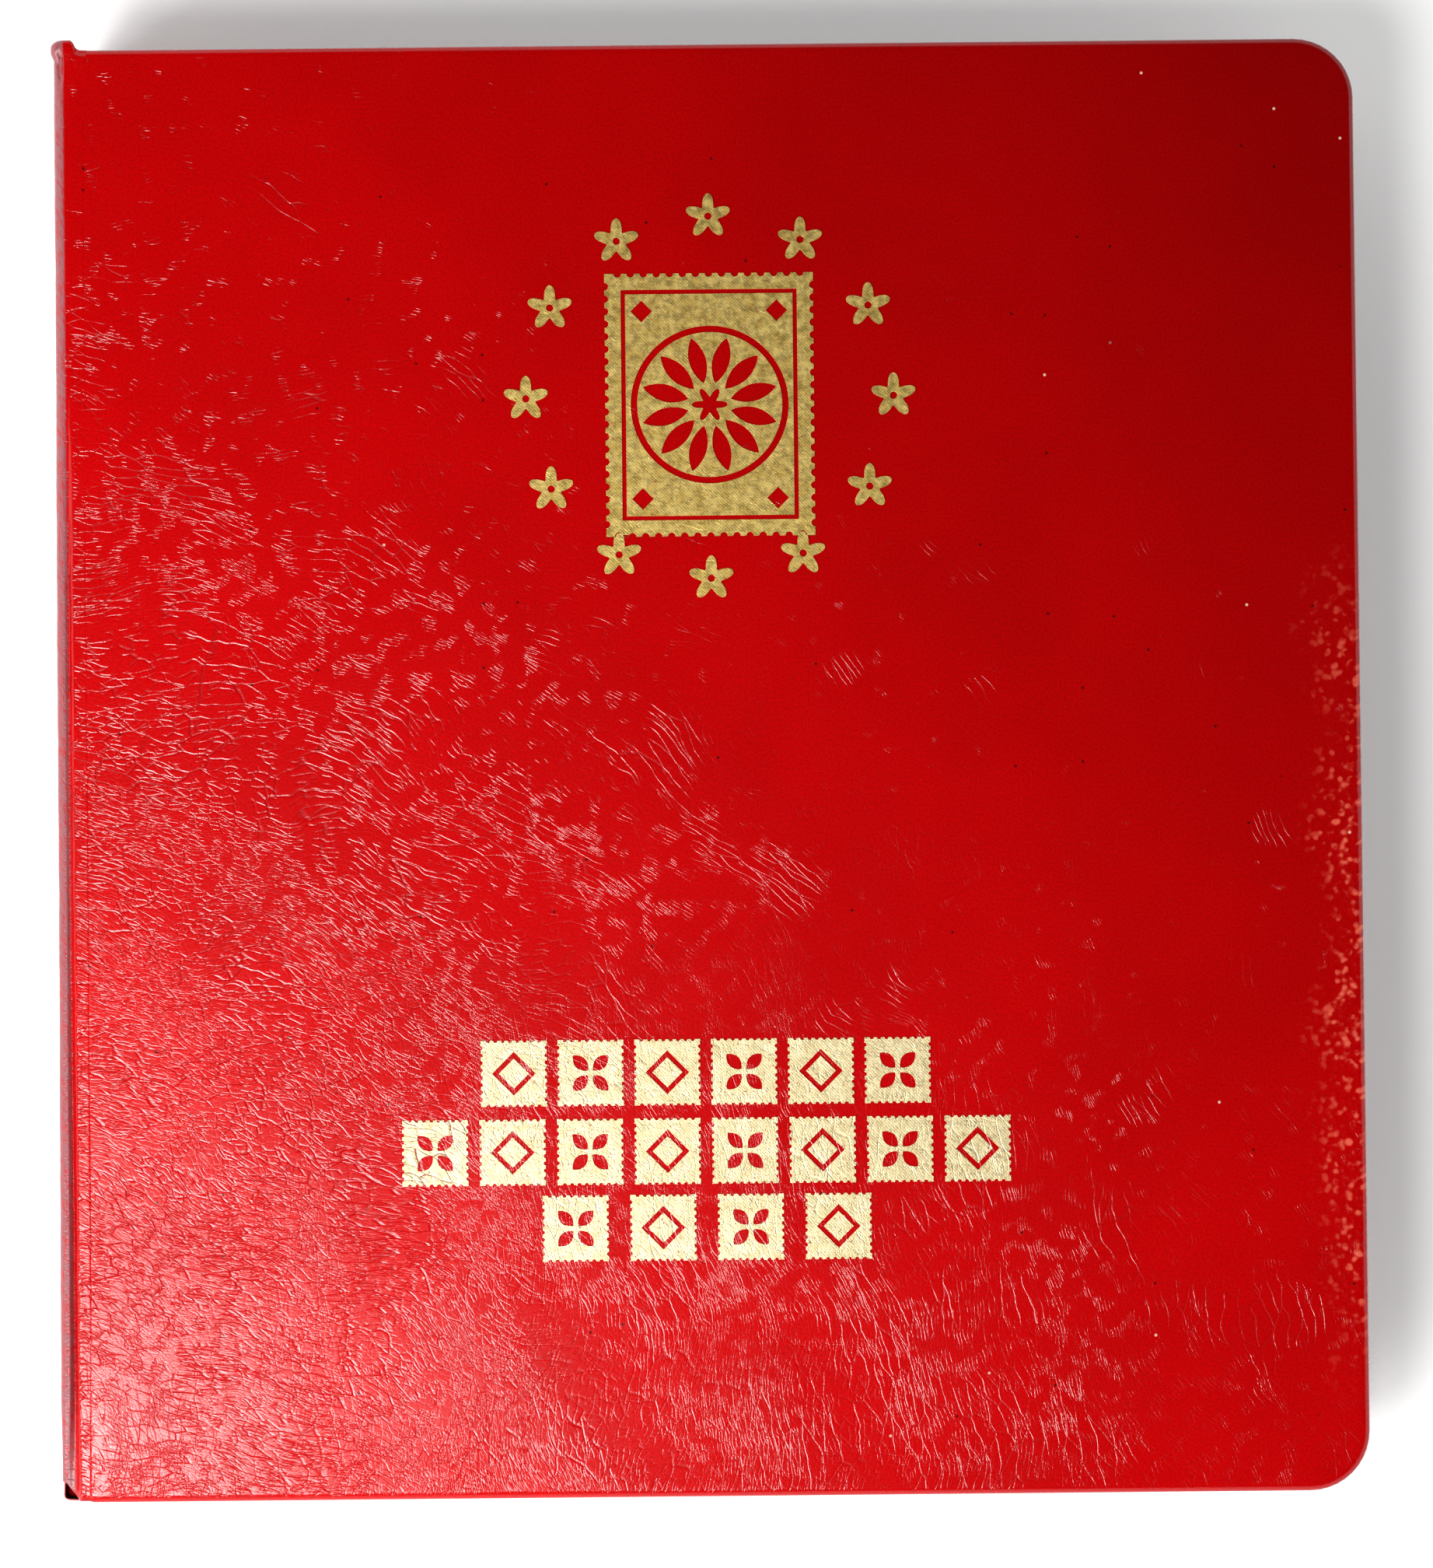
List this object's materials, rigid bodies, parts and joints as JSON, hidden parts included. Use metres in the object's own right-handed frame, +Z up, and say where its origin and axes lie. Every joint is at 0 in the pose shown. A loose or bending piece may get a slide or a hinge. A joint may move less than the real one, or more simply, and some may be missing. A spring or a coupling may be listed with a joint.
{
  "type": "ring album for stamps and first-day covers",
  "caption": "Leathercloth ring album with a rounded spine and clear pocket pages of stamped envelopes; the covers, pages and rings open.",
  "frame": {"origin": "centre of the underside of the closed album's bounding box", "axes": "+X from the spine to the fore edge, +Y to the head, +Z up through the front cover"},
  "size_m": [0.262, 0.294, 0.0501],
  "materials": {
    "red_leathercloth": "crushed grain, semi-gloss",
    "grey_board": "matte",
    "endpaper": "satin",
    "gold_foil": "blocked metallic foil",
    "nickel": "bright nickel plate",
    "clear_film": "clear film",
    "black_card": "matte",
    "envelope_paper": "matte"
  },
  "bodies": {
    "back_cover": {"back_board": "grey_board", "back_cover_skin": "red_leathercloth", "back_endpaper": "endpaper", "back_joint_cloth": "red_leathercloth"},
    "spine": {"spine_board": "grey_board", "spine_skin": "red_leathercloth", "spine_liner": "endpaper", "ring_cover_plate": "nickel", "ring_rivets": "nickel"},
    "front_cover": {"front_board": "grey_board", "front_cover_skin": "red_leathercloth", "front_endpaper": "endpaper", "foil_emblem": "gold_foil", "foil_panels": "gold_foil", "front_joint_cloth": "red_leathercloth"},
    "rings_front": {"hinged_plate_front": "nickel", "ring_halves_front": "nickel"},
    "rings_back": {"hinged_plate_back": "nickel", "ring_halves_back": "nickel"},
    "lever_head": {"lever_head": "nickel"},
    "lever_foot": {"lever_foot": "nickel"},
    "page_1": {"page_1_strip": "clear_film", "page_1_pocket": "clear_film", "page_1_card": "black_card", "page_1_covers": "envelope_paper"},
    "page_2": {"page_2_strip": "clear_film", "page_2_pocket": "clear_film", "page_2_card": "black_card", "page_2_covers": "envelope_paper"},
    "page_3": {"page_3_strip": "clear_film", "page_3_pocket": "clear_film", "page_3_card": "black_card", "page_3_covers": "envelope_paper"},
    "page_4": {"page_4_strip": "clear_film", "page_4_pocket": "clear_film", "page_4_card": "black_card", "page_4_covers": "envelope_paper"},
    "page_5": {"page_5_strip": "clear_film", "page_5_pocket": "clear_film", "page_5_card": "black_card", "page_5_covers": "envelope_paper"},
    "page_6": {"page_6_strip": "clear_film", "page_6_pocket": "clear_film", "page_6_card": "black_card", "page_6_covers": "envelope_paper"},
    "page_7": {"page_7_strip": "clear_film", "page_7_pocket": "clear_film", "page_7_card": "black_card", "page_7_covers": "envelope_paper"},
    "page_8": {"page_8_strip": "clear_film", "page_8_pocket": "clear_film", "page_8_card": "black_card", "page_8_covers": "envelope_paper"},
    "page_9": {"page_9_strip": "clear_film", "page_9_pocket": "clear_film", "page_9_card": "black_card", "page_9_covers": "envelope_paper"}
  },
  "joints": [
    {"name": "front_cover_opens", "type": "hinge", "parent": "spine", "child": "front_cover", "pos_m": [-0.128, 0, 0.0472], "axis": [0, -1, 0], "range_deg": [0, 175], "deforming": ["front_joint_cloth"]},
    {"name": "spine_leans_back", "type": "hinge", "parent": "back_cover", "child": "spine", "pos_m": [-0.128, 0, 0.0028], "axis": [0, -1, 0], "range_deg": [0, 85], "deforming": ["back_joint_cloth"]},
    {"name": "rings_open", "type": "hinge", "parent": "spine", "child": "rings_front", "pos_m": [-0.1266, 0, 0.0336], "axis": [0, -1, 0], "range_deg": [0, 12]},
    {"name": "rings_open_back", "type": "hinge", "parent": "spine", "child": "rings_back", "pos_m": [-0.1266, 0, 0.0164], "axis": [0, 1, 0], "range_deg": [0, 12]},
    {"name": "lever_head_presses", "type": "hinge", "parent": "spine", "child": "lever_head", "pos_m": [-0.1266, 0.1295, 0.025], "axis": [0, 0, 1], "range_deg": [0, 22]},
    {"name": "lever_foot_presses", "type": "hinge", "parent": "spine", "child": "lever_foot", "pos_m": [-0.1266, -0.1295, 0.025], "axis": [0, 0, -1], "range_deg": [0, 22]},
    {"name": "page_1_turns", "type": "hinge", "parent": "spine", "child": "page_1", "pos_m": [-0.1106, 0, 0.025], "axis": [0, -1, 0], "range_deg": [-79.05, 0]},
    {"name": "page_2_turns", "type": "hinge", "parent": "spine", "child": "page_2", "pos_m": [-0.1106, 0, 0.025], "axis": [0, -1, 0], "range_deg": [-59.5, 0]},
    {"name": "page_3_turns", "type": "hinge", "parent": "spine", "child": "page_3", "pos_m": [-0.1106, 0, 0.025], "axis": [0, -1, 0], "range_deg": [-39.1, 0]},
    {"name": "page_4_turns", "type": "hinge", "parent": "spine", "child": "page_4", "pos_m": [-0.1106, 0, 0.025], "axis": [0, -1, 0], "range_deg": [-18.7, 0]},
    {"name": "page_5_turns", "type": "hinge", "parent": "spine", "child": "page_5", "pos_m": [-0.1106, 0, 0.025], "axis": [0, -1, 0], "range_deg": [0, 17.5]},
    {"name": "page_6_turns", "type": "hinge", "parent": "spine", "child": "page_6", "pos_m": [-0.1106, 0, 0.025], "axis": [0, -1, 0], "range_deg": [0, 35]},
    {"name": "page_7_turns", "type": "hinge", "parent": "spine", "child": "page_7", "pos_m": [-0.1106, 0, 0.025], "axis": [0, -1, 0], "range_deg": [0, 52.5]},
    {"name": "page_8_turns", "type": "hinge", "parent": "spine", "child": "page_8", "pos_m": [-0.1106, 0, 0.025], "axis": [0, -1, 0], "range_deg": [0, 70]},
    {"name": "page_9_turns", "type": "hinge", "parent": "spine", "child": "page_9", "pos_m": [-0.1106, 0, 0.025], "axis": [0, -1, 0], "range_deg": [0, 87.5]}
  ],
  "couplings": [
    {"joint": "rings_open_back", "follows": "rings_open", "ratio": 1},
    {"joint": "lever_head_presses", "follows": "rings_open", "ratio": 1.8},
    {"joint": "lever_foot_presses", "follows": "rings_open", "ratio": 1.8},
    {"joint": "page_1_turns", "follows": "spine_leans_back", "ratio": -0.93},
    {"joint": "page_2_turns", "follows": "spine_leans_back", "ratio": -0.7},
    {"joint": "page_3_turns", "follows": "spine_leans_back", "ratio": -0.46},
    {"joint": "page_4_turns", "follows": "spine_leans_back", "ratio": -0.22},
    {"joint": "page_5_turns", "follows": "front_cover_opens", "ratio": 0.1},
    {"joint": "page_6_turns", "follows": "front_cover_opens", "ratio": 0.2},
    {"joint": "page_7_turns", "follows": "front_cover_opens", "ratio": 0.3},
    {"joint": "page_8_turns", "follows": "front_cover_opens", "ratio": 0.4},
    {"joint": "page_9_turns", "follows": "front_cover_opens", "ratio": 0.5}
  ]
}
